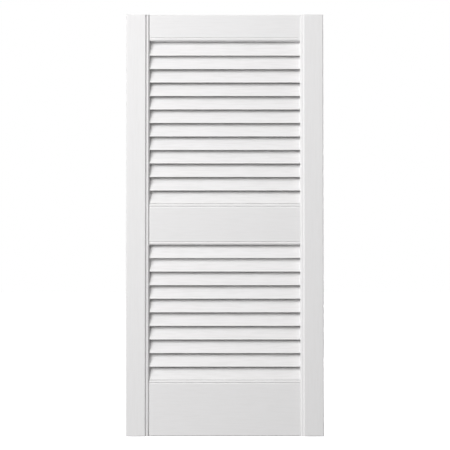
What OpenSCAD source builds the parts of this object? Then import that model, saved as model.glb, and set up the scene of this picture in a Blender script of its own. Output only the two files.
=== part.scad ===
// Fixed louvred shutter panel: two stiles, three rails and two fields of slats,
// held by dowels. The front faces -Y, the panel stands on Z = 0 and is centred on X and Y.

/* [Panel] */
// Overall width of the panel
panel_w = 368.3; // [300:0.1:480]
// Overall height of the panel
panel_h = 787.4; // [640:0.1:960]
// Radius of the long outer edges
edge_r = 2; // [0.5:0.1:4]
// Radius of the front edges at the panel's top and bottom ends
arris_r = 2; // [0.4:0.1:3]

/* [Stiles] */
// Width of a stile from its outer edge to its inner edge
stile_w = 43.2; // [34:0.1:60]
// Drop of each of the two sloped steps along a stile's inner edge
step_drop = 2.7; // [1:0.1:4]
// Width of the slope of each step
step_run = 2.4; // [1:0.1:4]
// Width of the flat ledge between the two steps
ledge_w = 3.1; // [1:0.1:6]

/* [Rails] */
// Height of the top rail
top_rail_h = 49.6; // [40:0.1:90]
// Height of the middle rail
mid_rail_h = 77.4; // [50:0.1:110]
// Height of the bottom rail
bottom_rail_h = 104.4; // [70:0.1:150]
// Radius of a rail's front edge beside the slats
bead_r = 3.4; // [1:0.1:3.6]
// Distance of the scored line from a rail's edge beside the slats
score_inset = 5.8; // [5:0.1:9]
// Width of the scored line
score_w = 2.4; // [0.6:0.1:2.6]
// Depth of the scored line
score_d = 1.2; // [0.4:0.1:2]

/* [Slats] */
// Number of slats above the middle rail
upper_slats = 12; // [6:1:18]
// Number of slats below the middle rail
lower_slats = 10; // [4:1:16]
// Width of a slat along its slope
slat_w = 34; // [26:0.1:42]
// Thickness of a slat
slat_t = 4.7; // [3.6:0.1:7]
// Lean of a slat from the vertical
slat_angle = 24; // [20:0.5:36]
// Radius of a slat's front edge and of its two upper edges
slat_r = 0.6; // [0.3:0.1:1.2]
// Distance of a slat's front edge behind the rails' face
slat_setback = 0.7; // [0.5:0.1:6]
// Wood left behind a slat's back edge
slat_cover = 7.5; // [2:0.1:12]
// Height that shows of the slat under the top rail
upper_first = 27; // [20:0.1:36]
// Height that shows of the slat under the middle rail
lower_first = 24.4; // [20:0.1:36]
// Height that shows of the lowest slat of each field, which stands on its rail
slat_last = 24.5; // [20:0.1:36]

/* [Joints] */
// Depth of the slots that hold the slats' ends
slot_depth = 7; // [4:0.1:12]
// Room between a slat's end and the bottom of its slot
slot_end_gap = 0.5; // [0.2:0.1:2]
// Room around a slat in a slot or housing
slat_fit = 0.2; // [0.1:0.05:0.5]
// Diameter of the dowels
dowel_d = 10; // [6:0.1:12]
// Length of the dowels
dowel_len = 50; // [30:1:60]
// Radial room around a dowel in its hole
dowel_fit = 0.05; // [0.02:0.01:0.2]
// Room at each end of a dowel
dowel_end_gap = 1; // [0.5:0.1:3]
// Distance of a dowel's axis from a rail's edge beside the slats
dowel_inset = 16; // [12:0.1:24]
// Least wood left between a dowel's hole and the slat that reaches up behind a rail
dowel_wall = 3; // [1:0.1:8]
// Distance of a dowel's axis from the panel's top or bottom end
dowel_end_inset = 14; // [10:0.1:24]
// Number of glue flutes around a dowel
dowel_flutes = 8; // [4:1:14]
// Radius of a glue flute
flute_r = 0.5; // [0.2:0.1:0.9]
// Chamfer on a dowel's ends
dowel_chamfer = 1; // [0.3:0.1:2]

/* [Hidden] */
$fn = 48;
over = 1; // how far a cut runs past the face that it opens
slat_hug = 0.95; // share of its radius that a slat's front rounding keeps from the underside

// Slat section, measured across the panel and up it
slat_depth = slat_w * sin(slat_angle) + slat_t * cos(slat_angle);
slat_top = slat_w * cos(slat_angle); // height of its highest point above its front edge

// Depths, with the front at the lowest Y
face_drop = 2 * step_drop; // rails' face behind the stiles' face
panel_t = face_drop + slat_setback + slat_depth + slat_cover;
front_y = -panel_t / 2;
back_y = panel_t / 2;
rail_y = front_y + face_drop;
rail_t = back_y - rail_y;
slat_y = rail_y + slat_setback;
dowel_y = rail_y + rail_t / 2;

// Widths
opening_w = panel_w - 2 * stile_w;
inner_x = opening_w / 2;
slat_len = opening_w + 2 * (slot_depth - slot_end_gap);
hole_depth = dowel_len / 2 + dowel_end_gap;

// Heights: the slats between the first and the last of each field share what is left
slat_pitch = (panel_h - top_rail_h - mid_rail_h - bottom_rail_h - upper_first - lower_first - 2 * slat_last)
    / (upper_slats + lower_slats - 4);
lower_field_h = lower_first + (lower_slats - 2) * slat_pitch + slat_last;
mid_rail_z = bottom_rail_h + lower_field_h;
upper_field_z = mid_rail_z + mid_rail_h;
top_rail_z = panel_h - top_rail_h;

// Height of the front edge of slat i of n above the rail under its field, counted from the top
function slat_z(i, n) = i == n ? 0 : slat_last + (n - 1 - i) * slat_pitch;
function upper_z(i) = upper_field_z + slat_z(i, upper_slats);
function lower_z(i) = bottom_rail_h + slat_z(i, lower_slats);
slat_zs = concat([for (i = [1:upper_slats]) upper_z(i)], [for (i = [1:lower_slats]) lower_z(i)]);

// Inset of a rail's lowest dowel, kept clear of the slat below, of which first shows under the rail
function clear_inset(first) =
    max(dowel_inset, slat_top - first + slat_fit + dowel_wall + dowel_fit + dowel_d / 2);

// Heights of the dowels in each rail, from the lowest up
top_dowels = [top_rail_z + clear_inset(upper_first), panel_h - dowel_end_inset];
mid_dowels = [mid_rail_z + clear_inset(lower_first), upper_field_z - dowel_inset];
bottom_dowels = [
    dowel_end_inset,
    (dowel_end_inset + bottom_rail_h - dowel_inset) / 2,
    bottom_rail_h - dowel_inset
];
dowel_zs = concat(top_dowels, mid_dowels, bottom_dowels);

// Node names
SIDES = ["left", "right"];
function sign_of(side) = side == "left" ? -1 : 1;
function two_digits(i) = i < 10 ? str("0", i) : str(i);
function slat_name(field, i) = str(field, "_slat_", two_digits(i));
function dowel_name(rail, side, i) = str(rail, "_rail_dowel_", side, "_", i);
function dowel_names(rail, heights) =
    [for (side = SIDES) for (i = [1:len(heights)]) dowel_name(rail, side, i)];

// What an eased corner loses, for a corner at the origin whose one side runs along +Y
// and whose other side lies angle degrees clockwise from it. The rounding's centre lies
// hug times the radius from that other side, so under 1 it leaves a faint edge there.
module corner_waste(r, angle = 90, hug = 1) {
    y = r * (hug + cos(angle)) / sin(angle);
    difference() {
        polygon([
            [-over, y],
            [r, y],
            [r + (r + over) * cos(angle), y - (r + over) * sin(angle)],
            [-over, -over / tan(angle / 2)]
        ]);
        translate([r, y]) circle(r);
    }
}

// Extrudes a profile drawn as (Y, Z) along X, centred on X = 0
module along_x(length) {
    translate([-length / 2, 0, 0])
        rotate([90, 0, 90])
            linear_extrude(length) children();
}

// Waste along a front edge that runs across the panel, at depth y and height z.
// up is 1 for a piece's bottom edge and -1 for its top edge.
module front_edge_waste(length, y, z, up, r) {
    along_x(length)
        translate([y, z])
            mirror([0, up < 0 ? 1 : 0]) corner_waste(r);
}

// Height of a slat's underside, before it leans, at distance x behind its front face
function underside(x, room) = x * tan(slat_angle) - room / cos(slat_angle);

// A slat's section with its front edge at the origin, grown by room on every side.
// The underside is cut level and its back edge is left sharp.
module slat_section(room = 0) {
    r = slat_r + room;
    front = -room;
    back = slat_t + room;
    top = slat_w + room;
    rotate(-slat_angle)
        difference() {
            polygon([
                [front, underside(front, room)],
                [back, underside(back, room)],
                [back, top],
                [front, top]
            ]);
            translate([front, underside(front, room)]) corner_waste(r, 90 - slat_angle, slat_hug);
            translate([back, top]) rotate(180) corner_waste(r);
            translate([front, top]) rotate(270) corner_waste(r);
        }
}

// The space for a slat whose front edge is at height z
module slat_housing(length, z) {
    along_x(length) translate([slat_y, z]) slat_section(slat_fit);
}

// Dowel hole that opens on a stile's inner edge and on a rail's end
module dowel_hole(side, z) {
    translate([sign_of(side) * inner_x, dowel_y, z])
        rotate([0, 90, 0])
            cylinder(r = dowel_d / 2 + dowel_fit, h = 2 * hole_depth, center = true);
}

// Section of the left stile, with its outer front corner at the origin
module stile_section() {
    difference() {
        polygon([
            [0, 0],
            [stile_w - 2 * step_run - ledge_w, 0],
            [stile_w - step_run - ledge_w, step_drop],
            [stile_w - step_run, step_drop],
            [stile_w, face_drop],
            [stile_w, panel_t],
            [0, panel_t]
        ]);
        corner_waste(edge_r);
        translate([0, panel_t]) rotate(270) corner_waste(edge_r);
    }
}

module stile_left_hand() {
    difference() {
        translate([-panel_w / 2, front_y, 0]) linear_extrude(panel_h) stile_section();
        for (z = slat_zs) slat_housing(opening_w + 2 * slot_depth, z);
        for (z = dowel_zs) dowel_hole("left", z);
        front_edge_waste(panel_w + 2 * over, front_y, 0, 1, arris_r);
        front_edge_waste(panel_w + 2 * over, front_y, panel_h, -1, arris_r);
    }
}

module stile(side) {
    color("white") mirror([side == "right" ? 1 : 0, 0, 0]) stile_left_hand();
}

// Scored line across a rail's face at height z
module score_line(z) {
    along_x(opening_w + 2 * over)
        translate([rail_y, z])
            polygon([[-score_d, -score_w], [score_d, 0], [-score_d, score_w]]);
}

// A rail from z up, rounded and scored beside each opening: slats_above and slats_below say where they are
module rail(z, h, dowels, slats_above, slats_below) {
    color("white") difference() {
        translate([-inner_x, rail_y, z]) cube([opening_w, rail_t, h]);
        front_edge_waste(opening_w + 2 * over, rail_y, z, 1, slats_below ? bead_r : arris_r);
        front_edge_waste(opening_w + 2 * over, rail_y, z + h, -1, slats_above ? bead_r : arris_r);
        if (slats_above) score_line(z + h - score_inset);
        if (slats_below) score_line(z + score_inset);
        for (foot = slat_zs)
            if (foot < z + h + slat_t && foot + slat_top > z - slat_t)
                slat_housing(opening_w + 2 * over, foot);
        for (side = SIDES) for (dowel_z = dowels) dowel_hole(side, dowel_z);
    }
}

module slat(z) {
    color("whitesmoke") along_x(slat_len) translate([slat_y, z]) slat_section();
}

// Fluted dowel with chamfered ends, through the joint of a rail and a stile
module dowel(side, z) {
    r = dowel_d / 2;
    color("burlywood") translate([sign_of(side) * inner_x, dowel_y, z])
        rotate([0, 90, 0])
            translate([0, 0, -dowel_len / 2])
                difference() {
                    rotate_extrude()
                        polygon([
                            [0, 0],
                            [r - dowel_chamfer, 0],
                            [r, dowel_chamfer],
                            [r, dowel_len - dowel_chamfer],
                            [r - dowel_chamfer, dowel_len],
                            [0, dowel_len]
                        ]);
                    for (k = [1:dowel_flutes])
                        rotate(k * 360 / dowel_flutes)
                            translate([r, 0, -over])
                                cylinder(r = flute_r, h = dowel_len + 2 * over, $fn = 24);
                }
}

stile("left");  // left_stile
stile("right");  // right_stile
rail(top_rail_z, top_rail_h, top_dowels, false, true);  // top_rail
rail(mid_rail_z, mid_rail_h, mid_dowels, true, true);  // mid_rail
rail(0, bottom_rail_h, bottom_dowels, true, false);  // bottom_rail
for (i = [1:upper_slats])
    slat(upper_z(i));
for (i = [1:lower_slats])
    slat(lower_z(i));
for (side = SIDES) {
    for (i = [1:len(top_dowels)])
        dowel(side, top_dowels[i - 1]);
    for (i = [1:len(mid_dowels)])
        dowel(side, mid_dowels[i - 1]);
    for (i = [1:len(bottom_dowels)])
        dowel(side, bottom_dowels[i - 1]);
}
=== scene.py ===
import math

import bmesh
import bpy
from bpy.props import FloatProperty, FloatVectorProperty, IntProperty, PointerProperty
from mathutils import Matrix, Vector, noise


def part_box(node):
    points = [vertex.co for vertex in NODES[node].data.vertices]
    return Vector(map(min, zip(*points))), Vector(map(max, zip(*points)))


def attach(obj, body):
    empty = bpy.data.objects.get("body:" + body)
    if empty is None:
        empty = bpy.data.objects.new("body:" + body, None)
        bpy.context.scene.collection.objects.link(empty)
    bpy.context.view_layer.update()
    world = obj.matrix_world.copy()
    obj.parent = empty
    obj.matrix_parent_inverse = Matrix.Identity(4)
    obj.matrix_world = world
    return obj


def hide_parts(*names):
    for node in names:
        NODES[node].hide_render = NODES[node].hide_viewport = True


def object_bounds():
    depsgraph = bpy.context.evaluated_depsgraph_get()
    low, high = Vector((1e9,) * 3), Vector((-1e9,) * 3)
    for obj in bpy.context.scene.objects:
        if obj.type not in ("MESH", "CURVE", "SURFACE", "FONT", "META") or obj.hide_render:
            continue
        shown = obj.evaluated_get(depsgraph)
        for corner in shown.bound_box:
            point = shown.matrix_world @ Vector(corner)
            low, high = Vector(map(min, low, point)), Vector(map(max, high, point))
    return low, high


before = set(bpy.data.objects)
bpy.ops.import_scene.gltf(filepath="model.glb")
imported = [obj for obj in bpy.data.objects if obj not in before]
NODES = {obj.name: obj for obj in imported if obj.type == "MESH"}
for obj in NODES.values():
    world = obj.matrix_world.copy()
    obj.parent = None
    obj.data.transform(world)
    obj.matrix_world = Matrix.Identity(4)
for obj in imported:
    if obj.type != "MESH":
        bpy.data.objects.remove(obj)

bl_info = {
    "name": "Louvred Shutter",
    "version": (1, 0, 0),
    "blender": (4, 5, 0),
    "location": "View3D > Sidebar > Shutter",
    "description": "Paints and dresses a timber louvred shutter panel around its packed frame",
    "category": "Object",
}

CAD_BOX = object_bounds()
BODY = "root"
STILES = ("left_stile", "right_stile")
RAILS = ("top_rail", "mid_rail", "bottom_rail")
SLATS = tuple(sorted(n for n in NODES if "_slat_" in n))
DOWELS = tuple(sorted(n for n in NODES if "_dowel_" in n))
INNER_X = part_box("mid_rail")[1].x  # half the clear width between the stiles
MM = 0.001

# Boards
WELD_DISTANCE = 1e-6  # points this close are one point
EASED_WELD = 4e-6  # the same, once the edges are eased
FLAT_ANGLE = math.radians(1)  # faces that turn less than this are one face
SHARP_ANGLE = math.radians(35)  # an edge that turns more than this looks sharp
AXIS_MATCH = 0.9999  # how nearly an edge must follow an axis to count as straight
SHORTEST_EASED = 10 * MM  # shorter edges stay sharp
ROOM_FOR_EASE = 3  # how many eases wide the faces beside an eased edge must be
ROUND = 0.5  # a bevel's profile that is part of a circle
FACE_WEIGHT = 100  # how strongly large faces keep their own shading

# Slats
FACE_STEP = 4.2 * MM  # widest stretch of a slat's face between two rows of vertices
CORNER_STEP = 0.6 * MM  # a row this close to both its neighbours lies on an eased corner
CUT_MARGIN = 0.2 * MM  # a cut this near a row uses the row
PAINTED_SHADE_FADE = (0.9 * MM, 1.6 * MM)  # painted shade starts this far before an edge, and is full past it
PLACES = 7  # decimals of a metre that tell two points of a slat's end apart
BEAD_STEPS = 6  # sections across a paint bead
IN_STILE = 0.05 * MM  # how far a paint bead runs into the stile's face
BOW_RATE = 3.0  # turns of the bow's noise in a metre
BOW_SPREAD = 0.5  # below 1, the bow starts nearer the slat's ends
SEED_STEP = 7.31  # keeps one slat's noise clear of the next one's

# Timber: the grain runs along Z in the shader groups, so level pieces turn their coordinates
UPRIGHT = (0, 0, 0)
LEVEL = (0, math.radians(90), 0)
STILE_RINGS, RAIL_RINGS, SLAT_RINGS, DOWEL_RINGS = 4.6 * MM, 5.2 * MM, 3.0 * MM, 1.8 * MM
STILE_CUTS = ((0, 0.02, 0), (0.07, 0.02, 0.4))  # where each piece's own stretch of grain starts
RAIL_CUT = (0.013, 0.031, 0)
SLAT_CUT = (0.002, 0.017, 0)
DOWEL_PORES = 0.4 * MM
DOWEL_RELIEF = 0.05 * MM
DOWEL_ROUGHNESS = ((0, 0.55), (1, 0.75))  # in a pore and beside it
PITH_DRIFT = (7, 7, 2.2)  # how fast the pith line wanders across a board and along it
PITH_REACH = (0.030, 0.030, 0)  # how far it wanders
PITH_PLACE = (0.011, 0.093, 0)  # where it lies
RING_PROFILE = ((0, 0.15), (0.62, 0.55), (0.86, 1), (1, 0.15))  # height across one growth ring
RING_SHARE = 0.45  # of the grain's height; the pores give the rest
PORE_EDGE = ((0.34, 0), (0.52, 1))
PORE_STRETCH = (1, 1, 0.03)

# Paint: the shader groups' noise scales are in features to a metre, and an EDGE is a ramp from
# a noise's value to how much shows there
PAINT_SPECULAR = 0.25
STROKES, STROKE_EDGE = 11, ((0.35, 0.35), (0.65, 1))
BRISTLE_STRETCH = (1, 1, 0.008)
STREAKS, STREAK_EDGE = 350, ((0.42, 0), (0.66, 1))
STREAK_STRETCH = (1, 1, 0.08)
SCUFFS, SCUFF_EDGE = 70, ((0.42, 0), (0.62, 1))
SPECKS, SPECK_EDGE = 160, ((0.35, 0.3), (0.7, 1))
LOOKS_UP = ((0.55, 0), (1, 1))  # dust starts on faces this near level
THIN_IN_VALLEYS = 0.18
THIN_ROUGHER, DUST_ROUGHER = 0.10, 0.35  # what thin paint and dust add to the roughness

# Stage
WHITE = (1, 1, 1, 1)
FLOOR_LIT = (0.10, 0.10, 0.10, 1)  # the floor that the panel's light bounces off
FLOOR_SEEN = (0.9, 0.9, 0.9, 1)
FLOOR_GLOW = 0.85
ROOM_FRONT, ROOM_BACK = -0.3, 0.5  # Y of the directions between which the room's light fades
CLIP_NEAR, CLIP_FAR = 0.05, 200
AIM_SHIFT = Vector((0.37, 0, -0.06)) * MM  # how far from the panel's centre the camera aims

# Shader nodes
GRID = (190, 170)  # width and height of a step in the node editor
FLOAT, VECTOR, COLOUR = "NodeSocketFloat", "NodeSocketVector", "NodeSocketColor"
FACTOR, FIRST, SECOND, MIXED = 0, 6, 7, 2  # sockets of a Mix node set to colour: three in, one out


# Sizes and colours

class ShutterPaint(bpy.types.PropertyGroup):
    """Paint, the timber under it, and the shade painted between the slats."""

    colour: FloatVectorProperty(
        name="Paint", description="Colour of the paint where it lies thick",
        subtype="COLOR", size=3, min=0, max=1, default=(0.884, 0.8765, 0.8785))
    thin_colour: FloatVectorProperty(
        name="Thin paint", description="Colour of the paint where it lies thin",
        subtype="COLOR", size=3, min=0, max=1, default=(0.843, 0.835, 0.834))
    dust_colour: FloatVectorProperty(
        name="Dust", description="Colour of the dust on faces that look up",
        subtype="COLOR", size=3, min=0, max=1, default=(0.66, 0.645, 0.61))
    # painted shade: a near-black colour painted on slat faces deep between the slats, where the
    # slats beside them cover them
    painted_shade_colour: FloatVectorProperty(
        name="Painted shade between slats",
        description="Colour of the thin, dusty paint that a brush hardly reaches",
        subtype="COLOR", size=3, min=0, max=1, default=(0.285, 0.28, 0.27))
    roughness: FloatProperty(
        name="Roughness", description="Mean roughness of the satin paint",
        subtype="FACTOR", min=0, max=1, default=0.46)
    grain_relief: FloatProperty(
        name="Grain relief",
        description="Height of the timber's grain where it shows through the paint",
        subtype="DISTANCE", unit="LENGTH", min=0, max=0.001, default=0.00006)
    brush_relief: FloatProperty(
        name="Brush relief", description="Height of the brush marks",
        subtype="DISTANCE", unit="LENGTH", min=0, max=0.001, default=0.00003)
    dust: FloatProperty(
        name="Dust", description="How much dust lies on faces that look up",
        subtype="FACTOR", min=0, max=1, default=0.3)
    wear: FloatProperty(
        name="Edge wear", description="How far the paint has thinned along eased edges",
        subtype="FACTOR", min=0, max=1, default=0.8)


class ShutterBoards(bpy.types.PropertyGroup):
    """Eased edges of stiles and rails."""

    ease: FloatProperty(
        name="Ease", description="Width taken off each sharp long edge by sanding",
        subtype="DISTANCE", unit="LENGTH", min=0.0001, max=0.001, default=0.0004)
    ease_steps: IntProperty(
        name="Ease steps", description="Faces across an eased edge", min=1, max=6, default=3)
    streaks: FloatProperty(
        name="Streaks", description="How far the paint on stiles and rails thins in long streaks",
        subtype="FACTOR", min=0, max=1, default=0.35)


class ShutterSlats(bpy.types.PropertyGroup):
    """Slats with their rounded edges and the paint that fills their joints."""

    bead: FloatProperty(
        name="Paint bead",
        description="Radius of the paint in the corner between a slat and a stile",
        subtype="DISTANCE", unit="LENGTH", min=0.0002, max=0.002, default=0.0008)
    bow: FloatProperty(
        name="Bow", description="How far a slat strays from straight",
        subtype="DISTANCE", unit="LENGTH", min=0, max=0.001, default=0.00002)
    # painted shade: the slats' paint is the frame's paint darkened by this share, so the slats read
    # darker
    shade: FloatProperty(
        name="Shade",
        description="Brightness of the slats' thinner paint as a share of the frame's",
        subtype="FACTOR", min=0, max=1, default=0.99)
    streaks: FloatProperty(
        name="Streaks", description="How far the slats' paint thins in long streaks",
        subtype="FACTOR", min=0, max=1, default=0.95)
    rings: IntProperty(
        name="Rings", description="Sections along the length of a slat", min=8, max=120, default=48)


class ShutterDowels(bpy.types.PropertyGroup):
    """Dowels in the frame's joints."""

    light_colour: FloatVectorProperty(
        name="Early wood", description="Colour between the dowel's grain lines",
        subtype="COLOR", size=3, min=0, max=1, default=(0.62, 0.43, 0.26))
    dark_colour: FloatVectorProperty(
        name="Late wood", description="Colour of the dowel's grain lines",
        subtype="COLOR", size=3, min=0, max=1, default=(0.42, 0.26, 0.14))


class ShutterStage(bpy.types.PropertyGroup):
    """Camera, lights and floor."""

    camera_distance: FloatProperty(
        name="Camera distance", description="From the panel's centre to the camera",
        subtype="DISTANCE", unit="LENGTH", min=0.5, max=20, default=3.0)
    camera_rise: FloatProperty(
        name="Camera tilt", description="How far the camera looks up at the panel's centre",
        subtype="ANGLE", unit="ROTATION", min=-1.5, max=1.5, default=math.radians(1.66))
    lens: FloatProperty(
        name="Lens", description="Focal length in millimetres", min=10, max=400, default=128.05)
    light_distance: FloatProperty(
        name="Light distance", description="Level distance from the panel to each light",
        subtype="DISTANCE", unit="LENGTH", min=0.5, max=10, default=2.8)
    key_height: FloatProperty(
        name="Key height", description="Height of the key light above the floor",
        subtype="DISTANCE", unit="LENGTH", min=0, max=10, default=1.5)
    key_side: FloatProperty(
        name="Key side", description="How far round to the left the key light stands",
        subtype="ANGLE", unit="ROTATION", min=-1.5, max=1.5, default=math.radians(33))
    light_size: FloatProperty(
        name="Light size", description="Width of each square light",
        subtype="DISTANCE", unit="LENGTH", min=0.05, max=5, default=2.0)
    key_power: FloatProperty(
        name="Key power", description="Power of the key light in watts",
        min=0, max=5000, default=83)
    back_height: FloatProperty(
        name="Back light height", description="Height of the back light above the floor",
        subtype="DISTANCE", unit="LENGTH", min=0, max=10, default=0.1)
    back_side: FloatProperty(
        name="Back light side", description="How far round to the right the back light stands",
        subtype="ANGLE", unit="ROTATION", min=-3.15, max=3.15, default=math.radians(140))
    back_power: FloatProperty(
        name="Back light power", description="Power of the back light in watts",
        min=0, max=5000, default=110)
    fill: FloatProperty(
        name="Fill", description="Brightness of the room's soft light", min=0, max=5, default=0.42)
    fill_behind: FloatProperty(
        name="Fill behind", description="Share of the soft light that the room's far side gives",
        subtype="FACTOR", min=0, max=1, default=0.0)
    floor_size: FloatProperty(
        name="Floor size", description="Width of the square floor",
        subtype="DISTANCE", unit="LENGTH", min=1, max=100, default=40)


# Shader helpers

def new_node(tree, kind, place):
    """A new node at a (column, row) of the node editor."""
    n = tree.nodes.new(kind)
    n.location = (place[0] * GRID[0], place[1] * GRID[1])
    return n


def node_of(tree, kind, place, **values):
    """A new node with its settings and socket values."""
    n = new_node(tree, kind, place)
    for key, value in values.items():
        if hasattr(n, key):
            setattr(n, key, value)
        else:
            n.inputs[key.replace("_", " ")].default_value = value
    return n


def join(tree, *links):
    """Links each (from node, from socket, to node, to socket)."""
    for a, out, b, into in links:
        tree.links.new(a.outputs[out], b.inputs[into])


def new_group(name, inputs, outputs):
    """An empty node group and its two end nodes. inputs are (name, type, default)."""
    group = bpy.data.node_groups.new(name, "ShaderNodeTree")
    for title, kind, default in inputs:
        socket = group.interface.new_socket(name=title, in_out="INPUT", socket_type=kind)
        socket.default_value = default
    for title, kind in outputs:
        group.interface.new_socket(name=title, in_out="OUTPUT", socket_type=kind)
    start = new_node(group, "NodeGroupInput", (-6, 0))
    end = new_node(group, "NodeGroupOutput", (6, 0))
    return group, start, end


def math_node(tree, operation, place, *values, clamp=False):
    """A Math node with as many of its inputs set as there are values."""
    n = new_node(tree, "ShaderNodeMath", place)
    n.operation = operation
    n.use_clamp = clamp
    for socket, value in zip(n.inputs, values):
        if value is not None:
            socket.default_value = value
    return n


def stretch_node(tree, place, stretch, shift=None):
    """Multiplies a vector by one number for each axis, and may then shift it."""
    operation = "MULTIPLY_ADD" if shift else "MULTIPLY"
    n = node_of(tree, "ShaderNodeVectorMath", place, operation=operation)
    n.inputs[1].default_value = stretch
    if shift:
        n.inputs[2].default_value = shift
    return n


def mix_colour(tree, place):
    """A Mix node set to colour."""
    return node_of(tree, "ShaderNodeMix", place, data_type="RGBA")


def ramp_node(tree, place, *stops):
    """A colour ramp in greys from (position, value) stops."""
    n = new_node(tree, "ShaderNodeValToRGB", place)
    ramp = n.color_ramp
    while len(ramp.elements) < len(stops):
        ramp.elements.new(0.5)
    for element, (position, value) in zip(ramp.elements, stops):
        element.position = position
        element.color = (value, value, value, 1)
    return n


def timber_grain_group():
    """Growth rings and pores drawn out along the vector's Z."""
    group, start, end = new_group(
        "Timber Grain",
        [("Vector", VECTOR, (0, 0, 0)), ("Ring Width", FLOAT, 3.5 * MM),
         ("Pore Width", FLOAT, 0.9 * MM)],
        [("Height", FLOAT), ("Pores", FLOAT)])
    # rings: distance from a pith line that wanders slowly along the board
    drift = stretch_node(group, (-5, 2), PITH_DRIFT)
    wander = node_of(group, "ShaderNodeTexNoise", (-4, 2), Scale=1.0, Detail=2.0, Roughness=0.45)
    shift = stretch_node(group, (-3, 2), PITH_REACH, (0, 0, 0))
    moved = node_of(group, "ShaderNodeVectorMath", (-2, 2), operation="ADD")
    flat = stretch_node(group, (-1, 2), (1, 1, 0), PITH_PLACE)
    reach = node_of(group, "ShaderNodeVectorMath", (0, 2), operation="LENGTH")
    turns = math_node(group, "DIVIDE", (1, 2))
    saw = math_node(group, "FRACT", (2, 2))
    ring = ramp_node(group, (3, 2), *RING_PROFILE)
    # pores: fine noise stretched along the board
    fine = math_node(group, "DIVIDE", (-5, -1), 1.0)
    scaled = node_of(group, "ShaderNodeVectorMath", (-4, -1), operation="SCALE")
    drawn = stretch_node(group, (-3, -1), PORE_STRETCH)
    streak = node_of(group, "ShaderNodeTexNoise", (-2, -1), Scale=1.0, Detail=3.0, Roughness=0.6)
    pore = ramp_node(group, (-1, -1), *PORE_EDGE)
    from_rings = math_node(group, "MULTIPLY", (4, 1), None, RING_SHARE)
    height = math_node(group, "MULTIPLY_ADD", (5, 0), None, 1 - RING_SHARE)
    join(group, (start, "Vector", drift, 0), (drift, 0, wander, "Vector"),
         (wander, "Color", shift, 0), (shift, 0, moved, 0), (start, "Vector", moved, 1),
         (moved, 0, flat, 0), (flat, 0, reach, 0), (reach, "Value", turns, 0),
         (start, "Ring Width", turns, 1), (turns, 0, saw, 0), (saw, 0, ring, 0),
         (start, "Pore Width", fine, 1), (start, "Vector", scaled, 0), (fine, 0, scaled, "Scale"),
         (scaled, 0, drawn, 0), (drawn, 0, streak, "Vector"), (streak, "Fac", pore, 0),
         (ring, "Color", from_rings, 0), (pore, "Color", height, 0), (from_rings, 0, height, 2),
         (height, 0, end, "Height"), (pore, "Color", end, "Pores"))
    return group


def brush_marks_group():
    """Bristle lines drawn out along the vector's Z, fainter where strokes end."""
    group, start, end = new_group(
        "Brush Marks",
        [("Vector", VECTOR, (0, 0, 0)), ("Bristle Width", FLOAT, 0.6 * MM)],
        [("Height", FLOAT)])
    fine = math_node(group, "DIVIDE", (-5, 0), 1.0)
    scaled = node_of(group, "ShaderNodeVectorMath", (-4, 0), operation="SCALE")
    drawn = stretch_node(group, (-3, 0), BRISTLE_STRETCH)
    bristles = node_of(group, "ShaderNodeTexNoise", (-2, 0), Scale=1.0, Detail=2.0, Roughness=0.5)
    strokes = node_of(group, "ShaderNodeTexNoise", (-2, -1), Scale=STROKES, Detail=1.0)
    strength = ramp_node(group, (-1, -1), *STROKE_EDGE)
    out = math_node(group, "MULTIPLY", (1, 0))
    join(group, (start, "Bristle Width", fine, 1), (start, "Vector", scaled, 0),
         (fine, 0, scaled, "Scale"), (scaled, 0, drawn, 0), (drawn, 0, bristles, "Vector"),
         (start, "Vector", strokes, "Vector"), (strokes, "Fac", strength, 0),
         (bristles, "Fac", out, 0), (strength, "Color", out, 1), (out, 0, end, "Height"))
    return group


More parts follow.
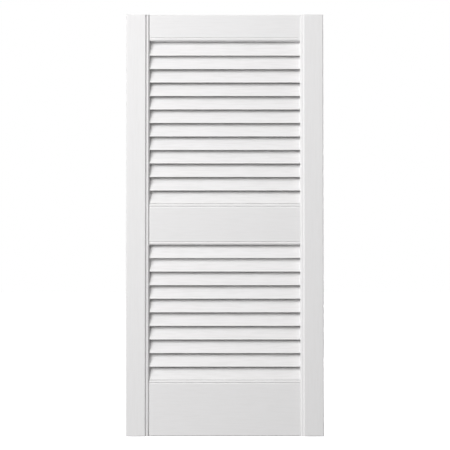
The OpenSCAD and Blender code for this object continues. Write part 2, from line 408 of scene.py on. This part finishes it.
def paint_film_group():
    """Colour and roughness of brushed paint: thin in places, dusty on top, and painted shade deep
    between the slats.
    """
    group, start, end = new_group(
        "Paint Film",
        [("Vector", VECTOR, (0, 0, 0)), ("Grain", FLOAT, 0.5), ("Wear", FLOAT, 0.3),
         ("Dust", FLOAT, 0.3), ("Streaks", FLOAT, 0.5),
         ("Paint", COLOUR, (0.9, 0.9, 0.9, 1)), ("Thin Paint", COLOUR, (0.8, 0.8, 0.8, 1)),
         ("Dust Colour", COLOUR, (0.6, 0.6, 0.6, 1)),
         ("Painted Shade", COLOUR, (0.5, 0.5, 0.5, 1)), ("Roughness", FLOAT, 0.45)],
        [("Color", COLOUR), ("Roughness", FLOAT)])
    # thin paint: long soft streaks, the grain's valleys, and worn edges
    drawn = stretch_node(group, (-5, 2), STREAK_STRETCH)
    streaks = node_of(
        group, "ShaderNodeTexNoise", (-4, 2), Scale=STREAKS, Detail=1.0, Roughness=0.5)
    streak = ramp_node(group, (-3, 2), *STREAK_EDGE)
    streaked = math_node(group, "MULTIPLY", (-2, 2))
    valley = math_node(group, "SUBTRACT", (-3, 1), 1.0)
    faint = math_node(group, "MULTIPLY", (-2, 1), None, THIN_IN_VALLEYS)
    edge = node_of(group, "ShaderNodeAttribute", (-4, 0), attribute_name="eased")
    scuffs = node_of(
        group, "ShaderNodeTexNoise", (-4, -1), Scale=SCUFFS, Detail=4.0, Roughness=0.65)
    scuff = ramp_node(group, (-3, -1), *SCUFF_EDGE)
    worn = math_node(group, "MULTIPLY", (-2, 0))
    wear = math_node(group, "MULTIPLY", (-1, 0))
    brushed_out = math_node(group, "ADD", (-1, 2))
    thin = math_node(group, "ADD", (0, 1), clamp=True)
    tone = mix_colour(group, (1, 1))
    # dust on faces that look up
    facing = node_of(group, "ShaderNodeNewGeometry", (-4, -3))
    parts = node_of(group, "ShaderNodeSeparateXYZ", (-3, -3))
    upward = ramp_node(group, (-2, -3), *LOOKS_UP)
    specks = node_of(group, "ShaderNodeTexNoise", (-3, -4), Scale=SPECKS, Detail=5.0, Roughness=0.7)
    drifted = ramp_node(group, (-2, -4), *SPECK_EDGE)
    lie = math_node(group, "MULTIPLY", (-1, -3))
    dust = math_node(group, "MULTIPLY", (0, -3), clamp=True)
    dusty = mix_colour(group, (2, 0))
    # painted shade: a near-black colour on slat faces that the slats beside them cover
    gap_shade = node_of(group, "ShaderNodeAttribute", (1, 3), attribute_name="painted_shade_mask")
    shade_painted = mix_colour(group, (3, 1))
    rough_thin = math_node(group, "MULTIPLY_ADD", (2, -2), None, THIN_ROUGHER)
    rough_dust = math_node(group, "MULTIPLY_ADD", (3, -2), None, DUST_ROUGHER)
    join(group, (start, "Vector", drawn, 0), (drawn, 0, streaks, "Vector"),
         (streaks, "Fac", streak, 0), (streak, "Color", streaked, 0),
         (start, "Streaks", streaked, 1), (start, "Grain", valley, 1), (valley, 0, faint, 0),
         (start, "Vector", scuffs, "Vector"), (scuffs, "Fac", scuff, 0), (edge, "Fac", worn, 0),
         (scuff, "Color", worn, 1), (worn, 0, wear, 0), (start, "Wear", wear, 1),
         (streaked, 0, brushed_out, 0), (faint, 0, brushed_out, 1),
         (brushed_out, 0, thin, 0), (wear, 0, thin, 1),
         (thin, 0, tone, FACTOR), (start, "Paint", tone, FIRST),
         (start, "Thin Paint", tone, SECOND))
    join(group, (facing, "Normal", parts, 0), (parts, "Z", upward, 0),
         (start, "Vector", specks, "Vector"), (specks, "Fac", drifted, 0),
         (upward, "Color", lie, 0), (drifted, "Color", lie, 1), (lie, 0, dust, 0),
         (start, "Dust", dust, 1), (dust, 0, dusty, FACTOR),
         (tone, MIXED, dusty, FIRST), (start, "Dust Colour", dusty, SECOND),
         (gap_shade, "Fac", shade_painted, FACTOR), (dusty, MIXED, shade_painted, FIRST),
         (start, "Painted Shade", shade_painted, SECOND), (shade_painted, MIXED, end, "Color"),
         (thin, 0, rough_thin, 0), (start, "Roughness", rough_thin, 2), (dust, 0, rough_dust, 0),
         (rough_thin, 0, rough_dust, 2), (rough_dust, 0, end, "Roughness"))
    return group


def group_once(name, make):
    """The node group of that name, made the first time it is asked for."""
    return bpy.data.node_groups.get(name) or make()


def place_group(tree, group, place):
    """A node that stands for a group."""
    return node_of(tree, "ShaderNodeGroup", place, node_tree=group)


def new_material(name):
    """A material, its node tree and its shader."""
    material = bpy.data.materials.new(name)
    material.use_nodes = True
    return material, material.node_tree, material.node_tree.nodes["Principled BSDF"]


def painted_timber(name, turn, offset, ring_width, streaks, shade=1.0):
    """White satin paint over timber whose grain runs the way that turn gives."""
    paint = bpy.context.scene.shutter_paint
    material, tree, shader = new_material(name)
    shader.inputs["Specular IOR Level"].default_value = PAINT_SPECULAR
    where = node_of(tree, "ShaderNodeTexCoord", (-8, 0))
    turned = node_of(tree, "ShaderNodeMapping", (-7, 0), Location=offset, Rotation=turn)
    grain = place_group(tree, group_once("Timber Grain", timber_grain_group), (-5, 1))
    grain.inputs["Ring Width"].default_value = ring_width
    brush = place_group(tree, group_once("Brush Marks", brush_marks_group), (-5, -1))
    film = place_group(tree, group_once("Paint Film", paint_film_group), (-3, 1))
    film.inputs["Wear"].default_value = paint.wear
    film.inputs["Dust"].default_value = paint.dust
    film.inputs["Streaks"].default_value = streaks
    # shade darkens the paint as painted shade; the slats use it
    film.inputs["Paint"].default_value = (*(shade * c for c in paint.colour), 1)
    film.inputs["Thin Paint"].default_value = (*(shade * c for c in paint.thin_colour), 1)
    film.inputs["Dust Colour"].default_value = (*paint.dust_colour, 1)
    # painted shade deep between the slats
    film.inputs["Painted Shade"].default_value = (*paint.painted_shade_colour, 1)
    film.inputs["Roughness"].default_value = paint.roughness
    over_grain = node_of(
        tree, "ShaderNodeBump", (-3, -1), Strength=1.0, Distance=paint.grain_relief)
    over_brush = node_of(
        tree, "ShaderNodeBump", (-2, -1), Strength=1.0, Distance=paint.brush_relief)
    join(tree, (where, "Object", turned, "Vector"), (turned, 0, grain, "Vector"),
         (turned, 0, brush, "Vector"), (turned, 0, film, "Vector"),
         (grain, "Height", film, "Grain"), (grain, "Height", over_grain, "Height"),
         (brush, "Height", over_brush, "Height"),
         (over_grain, 0, over_brush, "Normal"), (over_brush, 0, shader, "Normal"),
         (film, "Color", shader, "Base Color"), (film, "Roughness", shader, "Roughness"))
    return material


def bare_beech(name):
    """Unpainted dowel wood."""
    dowels = bpy.context.scene.shutter_dowels
    material, tree, shader = new_material(name)
    where = node_of(tree, "ShaderNodeTexCoord", (-8, 0))
    turned = node_of(tree, "ShaderNodeMapping", (-7, 0), Rotation=LEVEL)
    grain = place_group(tree, group_once("Timber Grain", timber_grain_group), (-5, 1))
    grain.inputs["Ring Width"].default_value = DOWEL_RINGS
    grain.inputs["Pore Width"].default_value = DOWEL_PORES
    tone = mix_colour(tree, (-3, 1))
    tone.inputs[FIRST].default_value = (*dowels.light_colour, 1)
    tone.inputs[SECOND].default_value = (*dowels.dark_colour, 1)
    rough = ramp_node(tree, (-3, 0), *DOWEL_ROUGHNESS)
    bump = node_of(tree, "ShaderNodeBump", (-3, -1), Strength=1.0, Distance=DOWEL_RELIEF)
    join(tree, (where, "Object", turned, "Vector"), (turned, 0, grain, "Vector"),
         (grain, "Height", tone, FACTOR), (grain, "Pores", rough, 0),
         (tone, MIXED, shader, "Base Color"), (rough, "Color", shader, "Roughness"),
         (grain, "Pores", bump, "Height"), (bump, 0, shader, "Normal"))
    return material


# Meshes

def add_piece(name, bm, material, node):
    """Makes the piece that stands for a CAD node, and puts it on its body."""
    mesh = bpy.data.meshes.new(name)
    bm.to_mesh(mesh)
    bm.free()
    mesh.materials.append(material)
    piece = bpy.data.objects.new(name, mesh)
    bpy.context.scene.collection.objects.link(piece)
    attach(piece, BODY)
    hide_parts(node)
    return piece


def runs_straight(edge):
    """True if an edge is parallel to X, Y or Z."""
    d = (edge.verts[1].co - edge.verts[0].co).normalized()
    return max(abs(d.x), abs(d.y), abs(d.z)) > AXIS_MATCH


def shade_smooth(bm):
    """Smooth shading everywhere but across sharp edges."""
    for face in bm.faces:
        face.smooth = True
    for e in bm.edges:
        e.smooth = e.calc_face_angle(0) < SHARP_ANGLE


def eased_board(node, ease, steps):
    """A CAD board's mesh, welded, with its sharp straight edges eased and marked."""
    bm = bmesh.new()
    bm.from_mesh(NODES[node].data)
    bmesh.ops.remove_doubles(bm, verts=bm.verts, dist=WELD_DISTANCE)
    bmesh.ops.dissolve_limit(bm, angle_limit=FLAT_ANGLE, verts=bm.verts, edges=bm.edges)
    sharp = [e for e in bm.edges
             if len(e.link_faces) == 2 and e.calc_face_angle(0) > SHARP_ANGLE and runs_straight(e)
             and e.calc_length() > SHORTEST_EASED
             and all(f.calc_area() / e.calc_length() > ROOM_FOR_EASE * ease for f in e.link_faces)]
    made = bmesh.ops.bevel(
        bm, geom=sharp, offset=ease, segments=steps, profile=ROUND, affect="EDGES",
        clamp_overlap=False)
    # only the points inside the rounding are marked, so that wear stays off the broad faces
    eased = bm.verts.layers.float.new("eased")
    rounding = set(made["faces"])
    for v in {v for face in rounding for v in face.verts}:
        v[eased] = float(rounding.issuperset(v.link_faces))
    bmesh.ops.remove_doubles(bm, verts=bm.verts, dist=EASED_WELD)
    bmesh.ops.dissolve_degenerate(bm, dist=EASED_WELD, edges=bm.edges)
    bmesh.ops.triangulate(bm, faces=[f for f in bm.faces if len(f.verts) > 4])
    shade_smooth(bm)
    return bm


def add_board(node, material):
    """A stile or rail with eased edges, for the CAD node."""
    boards = bpy.context.scene.shutter_boards
    bm = eased_board(node, boards.ease, boards.ease_steps)
    piece = add_piece(node + "_board", bm, material, node)
    flatten_normals(piece)


def shown_height(node):
    """Height of a slat's face that shows under the slat above, or None under a rail."""
    field, _, number = node.partition("_slat_")
    above = f"{field}_slat_{int(number) - 1:02d}"
    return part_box(above)[0].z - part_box(node)[0].z if above in NODES else None


def cut_ring(ring, heights):
    """A closed ring of (y, z) with a point added wherever it crosses one of the heights."""
    out = []
    for (y0, z0), (y1, z1) in zip(ring, ring[1:] + ring[:1]):
        out.append((y0, z0))
        crossed = [h for h in heights
                   if (z0 - h) * (z1 - h) < 0 and min(abs(z0 - h), abs(z1 - h)) > CUT_MARGIN]
        for h in sorted(crossed, reverse=z0 > z1):
            out.append((y0 + (y1 - y0) * (h - z0) / (z1 - z0), h))
    return out


def step_up(value, low, high):
    """0 up to low, 1 from high on, and an even rise between them."""
    return min(max((value - low) / (high - low), 0), 1)


def slat_end(node):
    """Points round the end of a CAD slat as (y, z), in order, with its long sides divided."""
    lo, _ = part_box(node)
    ends = {(round(v.co.y, PLACES), round(v.co.z, PLACES)) for v in NODES[node].data.vertices
            if v.co.x - lo.x < WELD_DISTANCE}
    cy, cz = (sum(p[k] for p in ends) / len(ends) for k in (0, 1))
    ring = sorted(ends, key=lambda p: math.atan2(p[1] - cz, p[0] - cy))
    spaced = []
    for (y0, z0), (y1, z1) in zip(ring, ring[1:] + ring[:1]):
        parts = max(1, round(math.hypot(y1 - y0, z1 - z0) / FACE_STEP))
        spaced += [(y0 + (y1 - y0) * k / parts, z0 + (z1 - z0) * k / parts) for k in range(parts)]
    return spaced


def painted_shade_bands(node):
    """Two (low, high) bands above a slat's foot, or None under a rail: the slats beside it cover
    its front from the first band up, and its back up to the second, and shade is painted there."""
    lo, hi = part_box(node)
    shown = shown_height(node)
    if shown is None:
        return None
    before, past = PAINTED_SHADE_FADE
    covered = hi.z - lo.z - shown
    return (shown - before, shown + past), (covered - past, covered + before)


def slat_outline(node):
    """Points round a CAD slat's end, in order, as
    (y, z, outward y, outward z, 1 on an eased corner, 1 where the slats beside it cover it and
    shade is painted)."""
    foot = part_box(node)[0].z
    spaced = slat_end(node)
    corners = {p for a, p, b in zip(spaced[-1:] + spaced, spaced, spaced[1:] + spaced[:1])
               if max(math.dist(a, p), math.dist(p, b)) < CORNER_STEP}
    # bands where shade is painted on the slat
    bands = painted_shade_bands(node)
    if bands:
        spaced = cut_ring(spaced, [foot + h for band in bands for h in band])
    outline = []
    for (ya, za), (y, z), (yb, zb) in zip(spaced[-1:] + spaced, spaced, spaced[1:] + spaced[:1]):
        length = math.hypot(yb - ya, zb - za)
        out_y, out_z = (zb - za) / length, (ya - yb) / length
        if not bands:
            gap_shade = 0.0
        elif out_y < 0:
            gap_shade = step_up(z - foot, *bands[0])
        else:
            gap_shade = 1 - step_up(z - foot, *bands[1])
        outline.append((y, z, out_y, out_z, float((y, z) in corners), gap_shade))
    return outline


def slat_sections(slats, half):
    """(x, growth, freedom) of a slat's sections: growth swells it into a paint bead at each stile,
    and freedom is how much of the bow it takes."""
    bead = slats.bead
    left = [(-half, 0, 0), (-INNER_X - IN_STILE, 0, 0)]
    for k in range(BEAD_STEPS + 1):
        s = bead * k / BEAD_STEPS
        left.append((-INNER_X - IN_STILE + s, bead - math.sqrt(bead ** 2 - (bead - s) ** 2), 0))
    start = -INNER_X - IN_STILE + bead
    middle = []
    for k in range(1, slats.rings):
        t = k / slats.rings
        middle.append((start * (1 - 2 * t), 0, math.sin(math.pi * t) ** BOW_SPREAD))
    right = [(-x, growth, freedom) for x, growth, freedom in reversed(left)]
    return left + middle + right


def slat_mesh(node, seed, slats):
    """A slat with rounded corners, a slight bow of its own, and a paint bead at each stile."""
    outline = slat_outline(node)
    _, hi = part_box(node)
    bm = bmesh.new()
    eased = bm.verts.layers.float.new("eased")
    # painted shade mask: 1 on slat faces that the slats beside them cover
    painted_shade_mask = bm.verts.layers.float.new("painted_shade_mask")
    rings = []
    for x, growth, freedom in slat_sections(slats, hi.x):
        place = Vector((x * BOW_RATE, seed * SEED_STEP, 0))
        bow_y = slats.bow * freedom * noise.noise(place)
        bow_z = slats.bow * freedom * noise.noise(place + Vector((0, 0, SEED_STEP)))
        ring = []
        for y, z, ny, nz, corner, gap_shade in outline:
            v = bm.verts.new((x, y + ny * growth + bow_y, z + nz * growth + bow_z))
            v[eased] = corner
            v[painted_shade_mask] = gap_shade
            ring.append(v)
        rings.append(ring)
    for a, b in zip(rings, rings[1:]):
        for i in range(len(outline)):
            j = (i + 1) % len(outline)
            bm.faces.new((a[i], a[j], b[j], b[i]))
    bm.faces.new(reversed(rings[0]))
    bm.faces.new(rings[-1])
    bmesh.ops.recalc_face_normals(bm, faces=bm.faces)
    shade_smooth(bm)
    return bm


def flatten_normals(piece):
    """Shades broad faces flat and only the rounding between them smooth."""
    weighted = piece.modifiers.new("Flat faces stay flat", "WEIGHTED_NORMAL")
    weighted.keep_sharp = True
    weighted.weight = FACE_WEIGHT


# Operators

class SHUTTER_OT_stiles(bpy.types.Operator):
    """Make the two stiles, with the grain upright"""

    bl_idname = "shutter.stiles"
    bl_label = "Stiles"

    def execute(self, context):
        streaks = context.scene.shutter_boards.streaks
        for k, node in enumerate(STILES):
            name = "White paint on " + node.replace("_", " ")
            material = painted_timber(name, UPRIGHT, STILE_CUTS[k], STILE_RINGS, streaks)
            add_board(node, material)
        return {"FINISHED"}


class SHUTTER_OT_rails(bpy.types.Operator):
    """Make the three rails, with the grain level"""

    bl_idname = "shutter.rails"
    bl_label = "Rails"

    def execute(self, context):
        streaks = context.scene.shutter_boards.streaks
        material = painted_timber("White paint on rails", LEVEL, RAIL_CUT, RAIL_RINGS, streaks)
        for node in RAILS:
            add_board(node, material)
        return {"FINISHED"}


class SHUTTER_OT_slats(bpy.types.Operator):
    """Make the slats, with the grain level and a paint bead at each end"""

    bl_idname = "shutter.slats"
    bl_label = "Slats"

    def execute(self, context):
        slats = context.scene.shutter_slats
        # the slats' paint is darkened by their shade: painted shade
        material = painted_timber(
            "White paint on slats", LEVEL, SLAT_CUT, SLAT_RINGS, slats.streaks, slats.shade)
        for seed, node in enumerate(SLATS):
            bm = slat_mesh(node, seed, slats)
            flatten_normals(add_piece(node + "_blade", bm, material, node))
        return {"FINISHED"}


class SHUTTER_OT_dowels(bpy.types.Operator):
    """Give the dowels inside the joints their bare wood"""

    bl_idname = "shutter.dowels"
    bl_label = "Dowels"

    def execute(self, context):
        material = bare_beech("Bare beech")
        for node in DOWELS:
            for slot in NODES[node].material_slots:
                slot.material = material
        return {"FINISHED"}


class SHUTTER_OT_stage(bpy.types.Operator):
    """Set the floor, the lights and the camera"""

    bl_idname = "shutter.stage"
    bl_label = "Stage"

    def execute(self, context):
        stage = context.scene.shutter_stage
        lo, hi = CAD_BOX
        centre = (lo + hi) / 2
        add_floor(stage)
        add_world(stage)
        add_light("key", stage, stage.key_side, stage.key_height, stage.key_power, centre)
        add_light("back", stage, -stage.back_side, stage.back_height, stage.back_power, centre)
        add_camera(stage, centre)
        context.scene.view_settings.view_transform = "Standard"
        return {"FINISHED"}


def lit_and_seen(tree, lit, seen, place):
    """Mixes two shaders: one that lights the scene, and one that the camera sees."""
    ray = node_of(tree, "ShaderNodeLightPath", (place[0] - 1, place[1] + 2))
    mix = node_of(tree, "ShaderNodeMixShader", place)
    join(tree, (ray, "Is Camera Ray", mix, 0), (lit, 0, mix, 1), (seen, 0, mix, 2))
    return mix


def add_floor(stage):
    """A plain pale floor that lights the panel less than it shows."""
    half = stage.floor_size / 2
    bm = bmesh.new()
    corners = ((-half, -half), (half, -half), (half, half), (-half, half))
    bm.faces.new([bm.verts.new((x, y, 0)) for x, y in corners])
    mesh = bpy.data.meshes.new("floor")
    bm.to_mesh(mesh)
    bm.free()
    floor = bpy.data.objects.new("floor", mesh)
    bpy.context.scene.collection.objects.link(floor)
    material, tree, shader = new_material("Pale floor")
    tree.nodes.remove(shader)
    out = tree.nodes["Material Output"]
    lit = node_of(tree, "ShaderNodeBsdfDiffuse", (-3, 1), Color=FLOOR_LIT)
    seen = node_of(tree, "ShaderNodeBsdfDiffuse", (-3, -1), Color=FLOOR_SEEN)
    glow = node_of(tree, "ShaderNodeEmission", (-3, -2), Color=WHITE, Strength=FLOOR_GLOW)
    both = node_of(tree, "ShaderNodeAddShader", (-2, -1))
    mix = lit_and_seen(tree, lit, both, (-1, 0))
    join(tree, (seen, 0, both, 0), (glow, 0, both, 1), (mix, 0, out, "Surface"))
    mesh.materials.append(material)


def add_world(stage):
    """A white room whose soft light fades from the panel's front to its back."""
    world = bpy.data.worlds.new("Soft room")
    bpy.context.scene.world = world
    world.use_nodes = True
    tree = world.node_tree
    tree.nodes.remove(tree.nodes["Background"])
    out = tree.nodes["World Output"]
    way = node_of(tree, "ShaderNodeTexCoord", (-7, 1))
    parts = node_of(tree, "ShaderNodeSeparateXYZ", (-6, 1))
    dimmed = node_of(tree, "ShaderNodeMapRange", (-5, 1))
    fade = (ROOM_FRONT, ROOM_BACK, stage.fill, stage.fill * stage.fill_behind)
    for socket, value in zip(dimmed.inputs[1:5], fade):
        socket.default_value = value
    lit = node_of(tree, "ShaderNodeBackground", (-3, 1), Color=WHITE)
    seen = node_of(tree, "ShaderNodeBackground", (-3, -1), Color=WHITE, Strength=1.0)
    mix = lit_and_seen(tree, lit, seen, (-1, 0))
    join(tree, (way, "Generated", parts, 0), (parts, "Y", dimmed, 0), (dimmed, 0, lit, "Strength"),
         (mix, 0, out, "Surface"))


def aim(obj, target):
    """Turns a light or the camera towards a point."""
    obj.rotation_mode = "QUATERNION"
    obj.rotation_quaternion = (target - obj.location).to_track_quat("-Z", "Y")


def add_light(name, stage, side, height, power, centre):
    """A square area light that stands side radians round to the left of the panel's front."""
    data = bpy.data.lights.new(name, "AREA")
    data.shape = "SQUARE"
    data.size = stage.light_size
    data.energy = power
    light = bpy.data.objects.new(name, data)
    away = stage.light_distance
    light.location = (-away * math.sin(side), -away * math.cos(side), height)
    aim(light, centre)
    bpy.context.scene.collection.objects.link(light)


def add_camera(stage, centre):
    """A camera straight in front that looks up a little."""
    data = bpy.data.cameras.new("camera")
    data.lens = stage.lens
    data.clip_start, data.clip_end = CLIP_NEAR, CLIP_FAR
    camera = bpy.data.objects.new("camera", data)
    target = centre + AIM_SHIFT
    sight = Vector((0, math.cos(stage.camera_rise), math.sin(stage.camera_rise)))
    camera.location = target - sight * stage.camera_distance
    aim(camera, target)
    bpy.context.scene.collection.objects.link(camera)
    bpy.context.scene.camera = camera


class SHUTTER_PT_panel(bpy.types.Panel):
    """Lists the shutter's pieces and settings."""

    bl_idname = "SHUTTER_PT_panel"
    bl_label = "Louvred Shutter"
    bl_space_type = "VIEW_3D"
    bl_region_type = "UI"
    bl_category = "Shutter"

    def draw(self, context):
        column = self.layout.column()
        for group in SETTINGS:
            settings = getattr(context.scene, group)
            column.label(text=settings.bl_rna.name)
            for key in settings.bl_rna.properties.keys():
                if key not in ("rna_type", "name"):
                    column.prop(settings, key)
        for operator in OPERATORS:
            column.operator(operator.bl_idname)


SETTINGS = {
    "shutter_paint": ShutterPaint,
    "shutter_boards": ShutterBoards,
    "shutter_slats": ShutterSlats,
    "shutter_dowels": ShutterDowels,
    "shutter_stage": ShutterStage,
}
OPERATORS = (
    SHUTTER_OT_stiles, SHUTTER_OT_rails, SHUTTER_OT_slats, SHUTTER_OT_dowels, SHUTTER_OT_stage)


def register():
    """Registers the classes, and gives the scene its settings."""
    for cls in (*SETTINGS.values(), *OPERATORS, SHUTTER_PT_panel):
        bpy.utils.register_class(cls)
    for name, cls in SETTINGS.items():
        setattr(bpy.types.Scene, name, PointerProperty(type=cls))


def unregister():
    """Takes the settings and the classes away."""
    for name in SETTINGS:
        delattr(bpy.types.Scene, name)
    for cls in (SHUTTER_PT_panel, *reversed(OPERATORS), *reversed(SETTINGS.values())):
        bpy.utils.unregister_class(cls)


def main():
    """Builds every piece and the stage."""
    register()
    bpy.ops.shutter.stiles()
    bpy.ops.shutter.rails()
    bpy.ops.shutter.slats()
    bpy.ops.shutter.dowels()
    bpy.ops.shutter.stage()


if __name__ == "__main__":
    main()
